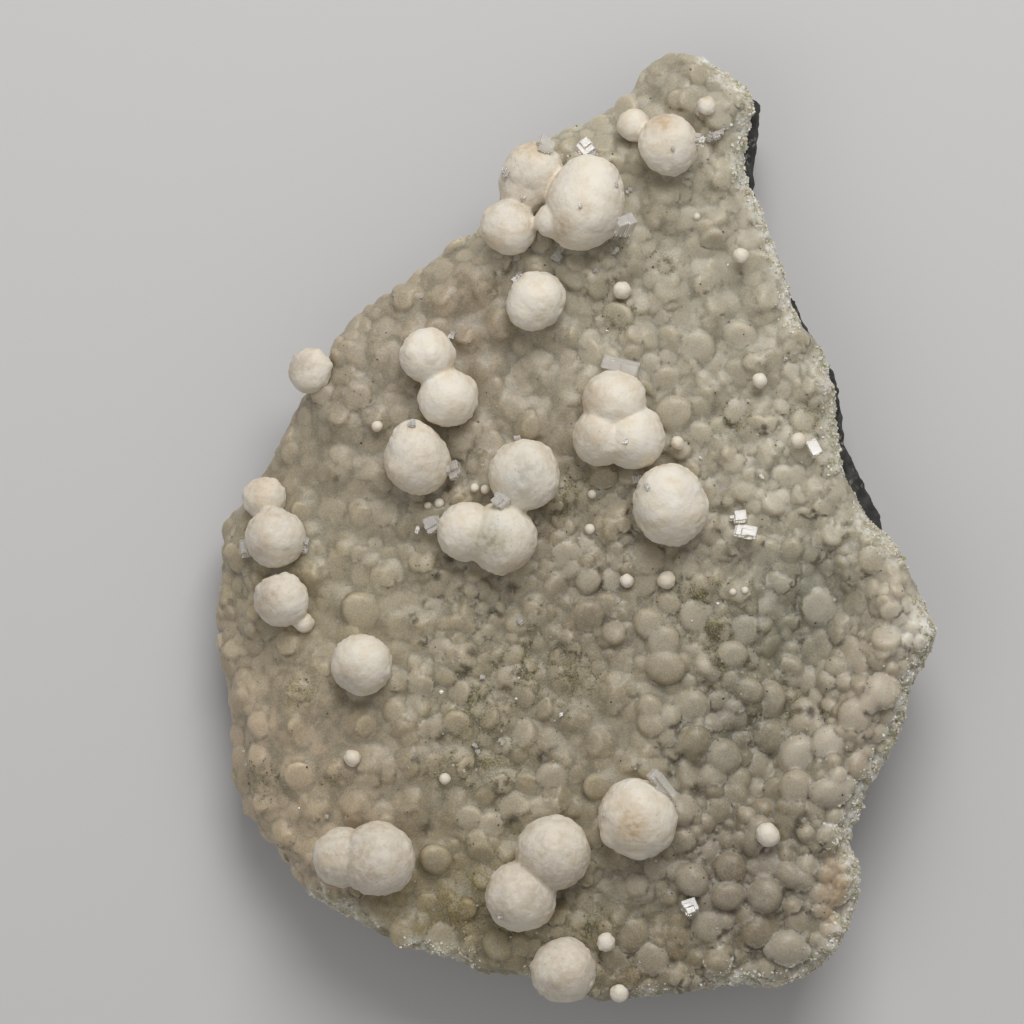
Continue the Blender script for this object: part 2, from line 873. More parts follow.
@dataclass(frozen=True)
class GyroliteFinish:
    """Cream, porcelain-like balls with a fine grain, pores and stains."""

    cream: Colour = (0.80, 0.735, 0.62)
    cool: Colour = (0.81, 0.77, 0.70)
    warm: Colour = (0.74, 0.645, 0.50)
    pore_colour: Colour = (0.24, 0.19, 0.11)
    foot_colour: Colour = (0.48, 0.39, 0.26)
    warm_freckle: Colour = (0.42, 0.28, 0.17)
    pore_spacing: float = 0.8
    pore_radius: float = 0.15
    pore_share: float = 0.30
    grain_relief: float = 0.16

    def material(self) -> bpy.types.Material:
        """The material of the balls and beads.

        Returns:
            The finished material.
        """
        finish = Finish("gyrolite_cream", IOR=STONE_IOR)
        cloud = finish.clouds(4.5, 5.0, 3.0)
        base = finish.mix(cloud.above(0.30, 0.55), self.warm, self.cream)
        base = finish.mix(cloud.above(0.55, 0.75) * 0.8, base, self.cool)
        fine = finish.clouds(0.7, 31.0, 4.0)
        share = finish.share("stain_share")
        freckled = finish.clouds(1.6, 63.0, 4.0).above(0.38, 0.62)
        base = finish.mix(share * (0.45 + 0.40 * freckled + 0.25 * fine), base, finish.colour("stain"))
        pores = finish.specks(self.pore_spacing, self.pore_radius, 23.0, self.pore_share)
        pores = pores * (share + 0.24).above(0.12, 0.50)
        base = finish.mix(pores * 0.75, base, self.pore_colour)
        base = finish.mix(finish.share("foot") * 0.6, base, self.foot_colour)
        base = finish.mix(freckled * fine.above(0.50, 0.72) * 0.16, base, self.warm_freckle)
        finish.dress(base, 0.44 + 0.3 * cloud, fine * 0.7 + freckled * 0.3, self.grain_relief)
        return finish.material


@dataclass(frozen=True)
class ClearCrystalFinish:
    """Clear crystals with slightly etched faces and a milky breath."""

    roughness: float = 0.07
    clearness: float = 0.62
    surface_colour: Colour = (0.96, 0.93, 0.88)
    thickness_colour: Colour = (0.94, 0.92, 0.88)
    density: float = 60.0
    etch_relief: float = 0.012

    def material(self) -> bpy.types.Material:
        """The material of the crystals.

        Returns:
            The finished material.
        """
        finish = Finish(
            "clear_crystal",
            Transmission_Weight=self.clearness,
            IOR=STONE_IOR,
            Base_Color=self.surface_colour,
        )
        finish.absorb(self.thickness_colour, self.density)
        etch = finish.clouds(0.9, 7.0, 2.0).above(0.45, 0.75)
        roughness = self.roughness + 0.12 * etch + 0.3 * finish.share("rim")
        finish.dress(None, roughness, etch, self.etch_relief)
        return finish.material


@dataclass(frozen=True)
class BasaltFinish:
    """Dark, dull rock with a pale bloom in patches."""

    dark: Colour = (0.020, 0.020, 0.019)
    light: Colour = (0.060, 0.058, 0.053)
    bloom: Colour = (0.34, 0.33, 0.28)
    crystal_colour: Colour = (0.14, 0.14, 0.13)
    relief: float = 0.5

    def material(self) -> bpy.types.Material:
        """The material of the basalt.

        Returns:
            The finished material.
        """
        finish = Finish("basalt_rock", IOR=1.5)
        base = finish.mix(finish.clouds(3.5, 9.0, 5.0).above(0.35, 0.7), self.dark, self.light)
        crystals = finish.specks(1.1, 0.28, 15.0, 0.35)
        base = finish.mix(crystals * 0.35, base, self.crystal_colour)
        patch = finish.clouds(11.0, 27.0, 2.0).above(0.55, 0.68)
        patch = patch * finish.clouds(1.1, 33.0, 4.0).above(0.48, 0.62)
        base = finish.mix(patch * finish.share("near_crust") * 0.8, base, self.bloom)
        height = finish.clouds(1.6, 39.0, 6.0) * 0.7 + finish.cells(0.9, 45.0) * 0.3
        finish.dress(base, 0.78 + 0.15 * finish.clouds(2.0, 51.0), height, self.relief)
        return finish.material


@dataclass(frozen=True)
class GrainFinish:
    """Loose-looking small grains of one colour."""

    name: str
    pale: Colour
    deep: Colour
    other: Colour | None = None
    roughness: float = 0.5
    relief: float = 0.06

    def material(self) -> bpy.types.Material:
        """The material of the grains.

        Returns:
            The finished material.
        """
        finish = Finish(self.name, IOR=STONE_IOR)
        base = finish.mix(finish.clouds(1.8, 11.0, 3.0).above(0.35, 0.65), self.pale, self.deep)
        patch = finish.clouds(2.6, 19.0, 2.0).above(0.55, 0.65) * 0.8
        base = finish.mix(patch, base, self.other or self.deep)
        roughness = self.roughness + 0.2 * finish.clouds(0.8, 21.0)
        finish.dress(base, roughness, finish.clouds(0.3, 33.0), self.relief)
        return finish.material


@dataclass
class Piece:
    """A finished piece of the specimen."""

    name: str
    mesh: bpy.types.Mesh
    material: bpy.types.Material
    slot: str
    nodes: tuple[str, ...] = ()
    smooth: bool = True

    def place(self) -> None:
        """Puts the piece in the scene, on the specimen's body and in place of its solids."""
        self.mesh.materials.clear()
        self.mesh.materials.append(self.material)
        if self.smooth:
            self.mesh.shade_smooth()
        piece = new_object(self.name, self.mesh)
        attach(piece, BODY)
        if self.nodes:
            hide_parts(*self.nodes)
        counts = triangles_in(self.mesh), open_edges_in(self.mesh)
        LOG.info("%s: %d triangles, %d open edges", self.name, *counts)


@dataclass
class GyroliteBalls:
    """Balls of gyrolite, grown together where they touch, and single beads."""

    clusters: dict[str, tuple[Triple, ...]] = field(
        default_factory=lambda: {
            "crown": ((21.8, 91.4, 7.4), (13.7, 96.2, 4.1)),
            "upper": (
                (1.4, 74.9, 9.2), (3.1, 81.4, 7.9), (-6.0, 73.0, 4.3),
                (-10.3, 85.4, 7.2), (-12.9, 79.6, 5.8), (-16.3, 71.5, 6.7),
            ),
            "upper_middle": ((-9.4, 54.7, 6.7), (-11.8, 51.8, 4.8)),
            "left_high": ((-35.8, 40.8, 6.7), (-31.0, 30.7, 7.2)),
            "left_mid": ((-38.4, 15.4, 7.9), (-39.1, 20.6, 4.8)),
            "left_rim": ((-64.3, 37.4, 5.5),),
            "left_edge": ((-75.4, 6.7, 5.5), (-72.5, -2.9, 7.4)),
            "left_low": ((-71.0, -17.8, 6.7), (-65.8, -23.3, 2.4)),
            "left_field": ((-51.4, -33.1, 7.4),),
            "middle": ((-12.7, 12.2, 8.6), (-18.2, -2.9, 8.6), (-26.2, -1.4, 7.2)),
            "centre_right": ((8.9, 29.8, 7.7), (5.8, 21.4, 7.0), (13.2, 21.1, 7.7)),
            "right": ((22.3, 4.6, 9.1), (20.9, 9.8, 5.2)),
            "low_right": ((14.4, -69.9, 9.7),),
            "low_left": ((-56.2, -79.4, 7.2), (-47.8, -79.7, 9.0)),
            "low_middle": ((-5.8, -78.2, 9.1), (-13.4, -88.6, 8.6)),
            "bottom": ((-3.1, -106.6, 7.8),),
        }
    )
    marks: tuple[Mark, ...] = (
        Mark((20.2, 96.4), 3.6, Stain.OCHRE, 0.75),
        Mark((30.9, 103.2), 1.5, Stain.OCHRE, 0.65),
        Mark((-11.0, 91.0), 4.0, Stain.OCHRE, 0.6),
        Mark((-3.4, 71.0), 3.2, Stain.OCHRE, 0.5),
        Mark((1.6, 30.0), 4.2, Stain.OCHRE, 0.6),
        Mark((2.5, 20.5), 4.5, Stain.BROWN, 0.4),
        Mark((-42.0, 11.5), 5.0, Stain.OCHRE, 0.35),
        Mark((-74.0, -17.0), 4.6, Stain.BROWN, 0.6),
        Mark((-54.5, -36.5), 4.0, Stain.BROWN, 0.40),
        Mark((-12.5, 12.8), 4.6, Stain.GREY, 0.6),
        Mark((-20.5, -3.5), 4.8, Stain.OLIVE, 0.80),
        Mark((-15.0, -9.5), 3.6, Stain.OCHRE, 0.4),
        Mark((13.0, -71.5), 4.8, Stain.OCHRE, 0.75),
        Mark((9.5, -66.0), 3.5, Stain.OCHRE, 0.35),
        Mark((-18.0, -91.5), 4.4, Stain.BROWN, 0.5),
        Mark((-53.0, -84.5), 4.4, Stain.BROWN, 0.5),
        Mark((-60.0, -82.0), 4.0, Stain.BROWN, 0.45),
        Mark((-5.5, -109.5), 4.6, Stain.BROWN, 0.5),
        Mark((-66.5, 39.5), 4.0, Stain.BROWN, 0.45),
        Mark((-76.5, 9.5), 4.0, Stain.OCHRE, 0.4),
        Mark((-75.5, -6.0), 4.4, Stain.BROWN, 0.35),
        Mark((-19.5, 68.5), 3.6, Stain.OCHRE, 0.3),
        Mark((-52.0, -80.0), 12.0, Stain.BROWN, 0.52),
        Mark((-9.0, -83.0), 12.0, Stain.BROWN, 0.46),
        Mark((-38.4, 15.4), 8.0, Stain.BROWN, 0.24),
        Mark((-73.5, 2.0), 9.0, Stain.BROWN, 0.28),
        Mark((-13.0, 81.0), 9.0, Stain.BROWN, 0.34),
        Mark((-3.0, -107.0), 9.0, Stain.BROWN, 0.36),
    )
    eggs: dict[str, tuple[tuple[int, int], ...]] = field(
        default_factory=lambda: {
            "upper": ((0, 1), (3, 4)), "upper_middle": ((0, 1),), "left_mid": ((0, 1),), "right": ((0, 1),),
        }
    )
    egg_steps: int = 4
    bead_count: int = 12
    skin: float = 0.36
    swelling: float = 0.07
    knuckles: tuple[int, int] = (7, 12)
    knuckle_size: Span = (0.34, 0.62)
    knuckle_rise: Span = (0.01, 0.045)
    relief: float = 0.12
    unevenness: float = 0.42
    unevenness_size: float = 6.5
    scallops: float = 0.25
    scallop_size: float = 2.3
    balls: list[Lump] = field(default_factory=list)

    def seat(self) -> None:
        """Works out where the balls are, from the solids of the frame."""
        self.seated: dict[str, list[Lump]] = {}
        for cluster, places in self.clusters.items():
            ground = Ground(copied_solid("gyrolite_" + cluster))
            lumps = []
            for x, y, radius in places:
                hit = ground.top(x, y)
                lumps.append(Lump(Vector((x, y, hit[0].z - radius)), radius))
            self.seated[cluster] = lumps
            self.balls += lumps

    def build(self, material: bpy.types.Material) -> list[bpy.types.Mesh]:
        """Builds every cluster and bead.

        Args:
            material: The finish of the gyrolite.

        Returns:
            The finished meshes.
        """
        meshes = []
        for number, (cluster, lumps) in enumerate(self.seated.items()):
            name = "gyrolite_" + cluster
            chance = random.Random(100 + number)
            mesh = self._grow(name, lumps + self._between(cluster, lumps), chance, self.skin)
            Piece(cluster + "_balls", mesh, material, "gyrolite", (name,)).place()
            meshes.append(mesh)
        for number in range(1, self.bead_count + 1):
            node = f"gyrolite_bead_{number:02d}"
            low, high = box_of(node)
            radius = (high.x - low.x) / 2
            centre = Vector(((low.x + high.x) / 2, (low.y + high.y) / 2, high.z - radius))
            mesh = self._grow(node, [Lump(centre, radius)], random.Random(200 + number), self.skin / 1.6)
            Piece(f"bead_{number:02d}", mesh, material, "gyrolite", (node,)).place()
            self.balls.append(Lump(centre, radius))
            meshes.append(mesh)
        return meshes

    def _between(self, cluster: str, lumps: list[Lump]) -> list[Lump]:
        """The balls that fill an egg-shaped ball between its two ends.

        Args:
            cluster: The group of balls.
            lumps: Its balls.

        Returns:
            The balls between them.
        """
        filling = []
        for first, last in self.eggs.get(cluster, ()):
            start, end = lumps[first], lumps[last]
            for step in range(1, self.egg_steps):
                share = step / self.egg_steps
                swell = 1.0 + 0.10 * math.sin(math.pi * share)
                radius = (start.radius + (end.radius - start.radius) * share) * swell
                filling.append(Lump(start.centre.lerp(end.centre, share), radius))
        return filling

    def _grow(self, name: str, lumps: list[Lump], chance: random.Random, skin: float) -> bpy.types.Mesh:
        """One skin round balls that touch.

        Args:
            name: The mesh's name.
            lumps: The balls.
            chance: What the knuckles are drawn from.
            skin: The size of the skin's cells, in millimetres.

        Returns:
            The mesh, with what its finish reads.
        """
        makers = []
        for lump in lumps:
            turn = Euler(drawn(chance, 0.0, math.tau))
            squash = 1.0 - chance.uniform(0.0, self.swelling)
            makers.append(ball_maker(lump._replace(squash=squash), 5, turn))
            makers += self._knuckles(lump, chance)
        mesh = shaped(build_in_batches(name, makers), one_skin(skin), softened(7))
        self._roughen(mesh, chance.uniform(0.0, 90.0))
        self._mark(mesh, lumps)
        return mesh

    def _knuckles(self, lump: Lump, chance: random.Random) -> Iterator[Maker]:
        """Low swellings all over a ball.

        Args:
            lump: The ball.
            chance: What they are drawn from.

        Returns:
            A function for each, which adds it.
        """
        for _ in range(chance.randint(*self.knuckles)):
            towards = any_way(chance).normalized()
            radius = lump.radius * chance.uniform(*self.knuckle_size)
            rise = lump.radius * chance.uniform(*self.knuckle_rise)
            centre = lump.centre + towards * (lump.radius - radius + rise)
            yield ball_maker(Lump(centre, radius), 3)

    def _roughen(self, mesh: bpy.types.Mesh, shift: float) -> None:
        """Gives the skin its uneven growth, with small scallops on the flanks.

        Args:
            mesh: The skin.
            shift: Where the noise is read, so that no two balls are alike.
        """
        points, normals = points_of(mesh), normals_of(mesh)
        flank = smoothstep(0.85, 0.25, normals[:, 2])
        places = vectors(points, shift)
        fine = noise_at(places, 2.4) + 0.35 * noise_at(places, 0.9)
        lobes = 2.0 * abs(noise_at(places, self.scallop_size)) - 0.45
        rise = self.relief * fine + self.unevenness * noise_at(places, self.unevenness_size)
        rise += self.scallops * flank * lobes
        move_points(mesh, points + normals * rise[:, None])

    def _mark(self, mesh: bpy.types.Mesh, lumps: list[Lump]) -> None:
        """Keeps the stains on the points, and how deep each point lies on its ball.

        Args:
            mesh: The skin.
            lumps: Its balls.
        """
        points = points_of(mesh)
        colours = np.tile(np.array(Stain.OCHRE.value), (len(points), 1))
        shares = np.zeros(len(points))
        for mark in self.marks:
            share = mark.share * fade(points[:, :2], mark.place, mark.reach)
            stronger = share > shares
            colours[stronger] = np.array(mark.stain.value)
            shares = np.maximum(shares, share)
        store_colour(mesh, "stain", colours)
        store_share(mesh, "stain_share", shares)
        depth = np.full(len(points), np.inf)
        for lump in lumps:
            own = (lump.centre.z - points[:, 2]) / lump.radius
            near = np.linalg.norm(points - np.array(lump.centre), axis=1) < lump.radius * 1.12
            depth = np.where(near, np.minimum(depth, own), depth)
        depth[~np.isfinite(depth)] = 0.0
        store_share(mesh, "foot", smoothstep(0.05, 0.75, depth))


@dataclass
class ChalcedonyCrust:
    """The crust: flat-topped lumps grown over each other on a bent plate, broken on the right and below."""

    node: str = "chalcedony_crust"
    base_skin: float = 1.1
    base_evening: int = 14
    base_drop: float = 1.3
    skin: float = 0.46
    triangles: int = 197000
    hidden_share: float = 0.04
    tries: tuple[int, int, int] = (6500, 10000, 11000)
    sizes: tuple[Span, ...] = ((0.95, 1.40), (0.66, 0.95), (0.36, 0.62))
    spacings: Triple = (1.86, 1.50, 1.32)
    sinks: Triple = (0.10, 0.16, 0.22)
    companions: int = 4
    companion_spacing: float = 0.72
    usual_radius: float = 2.55
    cell: float = 7.0
    fracture_grains: int = 1100
    seed: int = 7
    rind_width: float = 5.0
    roughness: float = 0.12
    rind_roughness: float = 0.45
    neighbour_reach: float = 7.5
    full_height: float = 2.6
    rock_place: Place = (64.0, -88.0)
    rock_reach: Place = (7.0, 13.0)
    gap_side: Triple = (0.50, -0.80, 0.0)
    landmarks: tuple[Triple, ...] = (
        (17.5, -23.5, 4.1), (20.7, -27.7, 4.1), (21.2, -33.7, 4.9), (25.3, -32.8, 2.2),
        (35.2, -55.3, 4.3), (32.7, -59.8, 3.2), (38.6, -61.2, 3.5), (37.3, -64.6, 4.1),
        (34.0, -68.0, 3.6), (27.6, -43.3, 4.6), (18.0, -47.4, 3.5), (17.4, -43.6, 3.3),
        (22.0, -45.6, 2.9), (58.1, -19.2, 4.7), (51.7, -5.7, 2.9), (16.8, -7.9, 4.2),
        (16.2, -13.5, 3.8), (22.1, -18.5, 2.9), (28.8, -21.3, 4.6), (40.4, -25.0, 3.9),
        (37.3, -30.9, 3.8), (41.4, -39.6, 3.6), (46.4, -41.9, 4.6), (46.4, -50.6, 4.0),
        (53.3, -55.2, 5.0), (60.7, -52.0, 4.6), (52.4, -62.6, 4.2), (66.6, -45.6, 4.4),
        (7.1, -19.0, 3.2), (2.8, -21.7, 4.0), (2.8, -13.0, 3.2), (8.3, -13.0, 2.9),
        (23.1, 27.0, 4.6), (17.6, 39.5, 2.5), (22.0, 40.6, 2.1), (30.8, 35.1, 2.3),
        (29.7, 22.3, 3.0), (25.0, 18.2, 2.4), (38.1, 27.4, 3.3), (34.1, 23.8, 2.6),
        (28.6, 42.9, 4.4), (39.3, 45.8, 4.0), (40.0, 8.6, 3.2), (21.6, 35.0, 3.8),
        (27.6, -85.0, 4.2), (36.2, -88.6, 4.2), (45.1, -88.6, 4.2), (36.7, -82.1, 3.8),
        (-25.4, -15.4, 1.9), (-22.9, -15.2, 2.1), (-20.6, -17.0, 2.2), (-19.4, -19.8, 2.1),
        (-19.8, -22.7, 2.0), (-21.4, -25.2, 1.9), (-23.6, -26.6, 1.7), (-34.0, -80.0, 4.0),
        (-61.0, 31.5, 3.2), (-13.0, 43.5, 2.2), (-24.5, 8.4, 2.6), (-33.6, 9.8, 2.8),
        (-38.4, 7.9, 2.3), (-43.7, -44.4, 2.9), (-52.1, -20.2, 4.6), (-32.0, -99.0, 4.6),
        (-42.0, -98.0, 3.6), (-36.0, -90.5, 2.4), (-26.5, -92.0, 2.6), (-19.0, -100.5, 3.8),
        (-14.0, -101.0, 3.0), (13.0, -98.0, 4.6), (18.0, -104.0, 4.4), (9.0, -104.0, 3.6),
        (-20.8, -72.0, 3.4), (-26.0, -70.0, 3.2), (-12.0, -62.0, 3.4), (-6.0, -60.0, 3.8),
        (4.6, -62.5, 3.2), (-28.0, -40.0, 3.0), (-31.5, -36.0, 2.6), (-15.5, -31.0, 3.0),
    )
    calm_places: tuple[tuple[Place, float, float], ...] = (
        ((-52.0, -20.0), 15.0, 1.0), ((8.0, -50.0), 13.0, 0.9), ((-44.0, -24.0), 9.0, 1.0),
        ((-30.0, 45.0), 26.0, 0.85), ((34.0, 58.0), 24.0, 0.6), ((-62.0, 10.0), 22.0, 0.9),
        ((-66.0, -52.0), 26.0, 0.85), ((-10.0, 30.0), 16.0, 0.7), ((20.0, -96.0), 12.0, 0.5),
        ((-34.0, -88.0), 16.0, 0.7), ((14.0, 100.0), 18.0, 0.7), ((-40.0, -66.0), 16.0, 0.8),
    )
    bare_edges: tuple[Spot, ...] = (
        ((-46.0, -99.5), 6.0), ((-18.5, -107.0), 8.5), ((8.0, -113.0), 9.0), ((26.0, -112.0), 7.0),
        ((56.0, 45.0), 5.0), ((64.0, 8.0), 5.0), ((80.0, -13.0), 5.0),
    )
    overall: Colour = (0.955, 0.945, 0.90)
    shades: tuple[Zone, ...] = (
        Zone((39.0, -46.6), 9.0, (0.42, 0.42, 0.35)),
        Zone((39.0, -84.0), 15.0, (0.56, 0.50, 0.44)),
        Zone((3.0, -22.6), 11.0, (0.74, 0.72, 0.70)),
        Zone((-4.0, -51.0), 12.0, (0.84, 0.82, 0.80)),
        Zone((-25.7, 51.8), 12.0, (0.90, 0.83, 0.78)),
        Zone((48.7, 15.8), 11.0, (1.42, 1.46, 1.56)),
        Zone((27.1, -97.0), 7.0, (1.15, 1.17, 1.18)),
        Zone((20.0, -27.0), 6.0, (1.10, 1.14, 1.25)),
        Zone((-30.5, -94.6), 14.0, (0.65, 0.58, 0.37)),
        Zone((16.0, -108.0), 12.0, (0.54, 0.46, 0.30)),
        Zone((81.0, -24.0), 8.0, (1.70, 1.90, 2.20)),
        Zone((24.0, 108.0), 10.0, (0.82, 0.81, 0.80)),
        Zone((-74.0, -45.0), 18.0, (1.24, 1.23, 1.21)),
        Zone((-66.0, -75.0), 16.0, (1.26, 1.27, 1.22)),
    )
    zones: tuple[Zone, ...] = (
        Zone((16.0, 78.0), 34.0, (0.483, 0.435, 0.336)),
        Zone((36.0, 38.0), 30.0, (0.471, 0.424, 0.327)),
        Zone((-42.0, 26.0), 30.0, (0.402, 0.339, 0.252)),
        Zone((-4.0, 0.0), 28.0, (0.402, 0.345, 0.252)),
        Zone((-54.0, -20.0), 24.0, (0.437, 0.379, 0.263)),
        Zone((-70.0, -58.0), 28.0, (0.425, 0.339, 0.249)),
        Zone((-14.0, -46.0), 28.0, (0.380, 0.322, 0.218)),
        Zone((53.0, -22.0), 11.0, (0.276, 0.266, 0.196)),
        Zone((74.0, -40.0), 18.0, (0.483, 0.412, 0.319)),
        Zone((38.0, -62.0), 22.0, (0.380, 0.333, 0.252)),
        Zone((30.0, -98.0), 24.0, (0.345, 0.299, 0.218)),
        Zone((-24.0, -96.0), 18.0, (0.368, 0.316, 0.202)),
    )
    dirt_places: tuple[Spot, ...] = (
        ((-12.5, -35.7), 9.0), ((-0.5, -37.0), 7.0), ((-24.5, -44.0), 8.0), ((-30.0, -60.0), 8.0),
        ((-20.0, -55.0), 8.0), ((-66.5, -39.4), 5.0), ((-75.0, -61.7), 5.0), ((-60.0, -61.0), 5.0),
        ((29.0, -20.0), 8.0), ((36.0, -30.0), 7.0), ((3.0, -97.0), 6.0), ((-22.0, -92.0), 10.0),
        ((56.0, 26.0), 5.0), ((36.7, 24.2), 5.0), ((10.3, 51.8), 5.0), ((54.0, -43.0), 7.0),
        ((21.4, 63.4), 3.0), ((-1.0, 8.0), 6.0),
    )
    pockets: tuple[Spot, ...] = (
        ((5.8, -14.4), 1.7), ((6.7, -23.0), 1.6), ((-2.9, -30.5), 1.8), ((-2.2, -37.0), 1.8),
        ((33.4, -25.4), 2.3), ((33.4, -32.6), 1.4), ((41.8, -32.4), 1.3), ((32.2, -39.6), 1.5),
        ((51.1, -45.4), 1.6), ((53.5, -45.1), 1.5), ((56.2, -44.9), 1.5), ((58.8, -44.6), 1.3),
        ((23.5, -49.2), 1.6), ((23.5, -56.2), 2.0), ((28.6, -63.1), 1.5), ((53.3, -71.8), 1.6),
        ((15.6, -58.3), 1.3), ((-39.1, -22.1), 1.5), ((-36.0, -19.0), 1.3), ((-25.2, -30.2), 1.3),
        ((-27.4, -35.0), 1.9), ((-12.0, -28.1), 1.5), ((-3.8, -29.5), 2.0), ((-12.7, -35.0), 1.8),
        ((-25.0, -44.2), 1.4), ((-32.2, -50.9), 1.6), ((-23.3, -54.5), 1.5), ((-23.3, -57.4), 1.5),
        ((-18.0, -53.3), 1.6), ((-18.0, -62.9), 2.3), ((-15.4, -70.6), 1.7), ((-6.5, -52.6), 1.7),
        ((-8.4, -55.7), 1.6), ((-27.8, -64.3), 1.8), ((-31.9, -65.8), 1.5), ((-36.2, -73.0), 1.5),
        ((-38.2, -55.9), 1.4), ((-31.2, 8.9), 1.2), ((-30.5, -7.9), 1.3), ((-15.6, -14.9), 1.5),
        ((-19.7, -21.1), 1.8), ((-19.2, -11.8), 1.3), ((-33.6, -12.2), 1.1), ((-2.4, 4.8), 2.0),
        ((-4.8, 3.4), 1.8), ((-28.6, 16.3), 1.3), ((21.4, 63.4), 1.2), ((10.3, 51.8), 1.6),
        ((36.7, 24.2), 1.8), ((3.1, -97.0), 1.9), ((54.2, -27.4), 1.5), ((62.6, -27.4), 1.7),
    )
    pads: list[Pad] = field(default_factory=list)

    def build(self, balls: list[Lump], material: bpy.types.Material) -> bpy.types.Mesh:
        """Builds the crust.

        Args:
            balls: The balls that stand on it, under which no lumps are needed.
            material: Its finish.

        Returns:
            The finished mesh.
        """
        base = self._base()
        self._spread(base, balls)
        makers = [pad_maker(pad) for pad in self.pads]
        makers += self._fracture_blocks(base)
        whole = bmesh.new()
        whole.from_mesh(base)
        lumps = build_in_batches("lumps", makers)
        whole.from_mesh(lumps)
        bpy.data.meshes.remove(lumps)
        mesh = shaped(mesh_from(whole, self.node), one_skin(self.skin), softened(2, 0.35))
        mesh = self._thinned(mesh)
        self._roughen(mesh)
        self._paint(mesh, base)
        Piece("chalcedony_lumps", mesh, material, "chalcedony", (self.node,)).place()
        return mesh

    def _base(self) -> bpy.types.Mesh:
        """The plate without its lumps: the solid of the frame, evened out and a little lower on top.

        Returns:
            Its mesh.
        """
        mesh = shaped(copied_solid(self.node), one_skin(self.base_skin), softened(self.base_evening))
        points, normals = points_of(mesh), normals_of(mesh)
        points[:, 2] -= self.base_drop * np.clip(normals[:, 2], 0.0, 1.0)
        move_points(mesh, points)
        return mesh

    def calm(self, x: float, y: float) -> float:
        """How smooth the crust is here, from 0 for free lumps to 1.

        Args:
            x: The place, in millimetres.
            y: The same, up the face.

        Returns:
            A number from 0 to 1.
        """
        most = 0.0
        for (at_x, at_y), reach, share in self.calm_places:
            most = max(most, share * math.exp(-((x - at_x) ** 2 + (y - at_y) ** 2) / reach**2))
        return min(1.0, 0.12 + most + 0.4 * max(0.0, noise.noise(Vector((x, y, 3.0)) / 14.0)))

    def boldness(self, x: float, y: float) -> float:
        """How ball-like the lumps are here, 1 in the lower right and 0 far from it."""
        return clamp((x - 8.0) / 22.0) * clamp((-22.0 - y) / 20.0)

    def lump_radius(self, x: float, y: float) -> float:
        """How large the lumps are here.

        Args:
            x: The place, in millimetres.
            y: The same, up the face.

        Returns:
            A radius in millimetres.
        """
        left = clamp((-30.0 - x) / 30.0)
        top = clamp((y - 20.0) / 40.0) * clamp((x + 10.0) / 30.0)
        return self.usual_radius + 0.75 * self.boldness(x, y) - 0.25 * left + 0.45 * top

    def _spread(self, base: bpy.types.Mesh, balls: list[Lump]) -> None:
        """Spreads lumps over the plate, large ones first, some with companions, and small ones between.

        Args:
            base: The plate.
            balls: The balls, under which no lumps are needed.
        """
        middles, normals, area, edge = self._facets(base)
        draw, chance = np.random.default_rng(self.seed), random.Random(self.seed)
        self.cells: dict[tuple[int, int, int], list[Pad]] = {}
        self.balls = balls
        ground = Ground(base)
        group = self._place_landmarks(ground, chance)
        for stage, tries in enumerate(self.tries):
            low, high = self.sizes[stage]
            for face in draw.choice(len(area), tries, p=area / area.sum()):
                point, normal = Vector(middles[face]), Vector(normals[face])
                size = low + (high - low) * chance.random() ** 1.5
                pad = self._grown(point, normal, size, self.sinks[stage], edge[face], chance)
                if not self._has_room(pad, self.spacings[stage]):
                    continue
                group += 1
                pad = pad._replace(group=group)
                self._keep(pad)
                if stage == 0:
                    self._add_companions(pad, ground, chance)

    def _facets(self, base: bpy.types.Mesh) -> tuple[np.ndarray, np.ndarray, np.ndarray, np.ndarray]:
        """Measures the triangles of the plate.

        Args:
            base: The plate.

        Returns:
            Their middles in millimetres, their normals, their areas, which are 0 where no lump grows, and
            how far they are from the broken edge.
        """
        base.calc_loop_triangles()
        corners = np.empty(len(base.loop_triangles) * 3, np.int32)
        base.loop_triangles.foreach_get("vertices", corners)
        corners, points = corners.reshape(-1, 3), points_of(base)
        a, b, c = (points[corners[:, side]] for side in range(3))
        cross = np.cross(b - a, c - a)
        area = np.linalg.norm(cross, axis=1)
        normals = cross / np.maximum(area, 1e-9)[:, None]
        middles = (a + b + c) / 3
        edge = distance_to_broken_edge(middles[:, :2])
        broken_side = (edge < self.rind_width) & (normals[:, 2] < 0.55)
        area[(normals[:, 2] < -0.3) | broken_side] = 0.0
        return middles, normals, area, edge

    def _place_landmarks(self, ground: Ground, chance: random.Random) -> int:
        """Places the lumps whose places are given. Those that follow and touch each other are one group.

        Args:
            ground: The plate.
            chance: What their forms are drawn from.

        Returns:
            The number of the last group.
        """
        group = 0
        for number, (x, y, radius) in enumerate(self.landmarks):
            before = self.landmarks[number - 1]
            group += math.dist((x, y), before[:2]) > 0.85 * (radius + before[2])
            point, _ = ground.top(x, y)
            bold = self.boldness(x, y)
            sides = (1.0, chance.uniform(0.84, 1.0), 0.46 + 0.22 * bold)
            lean = Vector((chance.gauss(0.0, 0.12), chance.gauss(-0.08, 0.12), 1.0)).normalized()
            centre, spin = point - Vector((0.0, 0.0, 0.10 * radius)), chance.uniform(0.0, math.pi)
            rise = radius * (0.36 + 0.15 * bold)
            self._keep(Pad(centre, radius, lean, sides, spin, 3.0 - 0.4 * bold, rise, group))
        return group

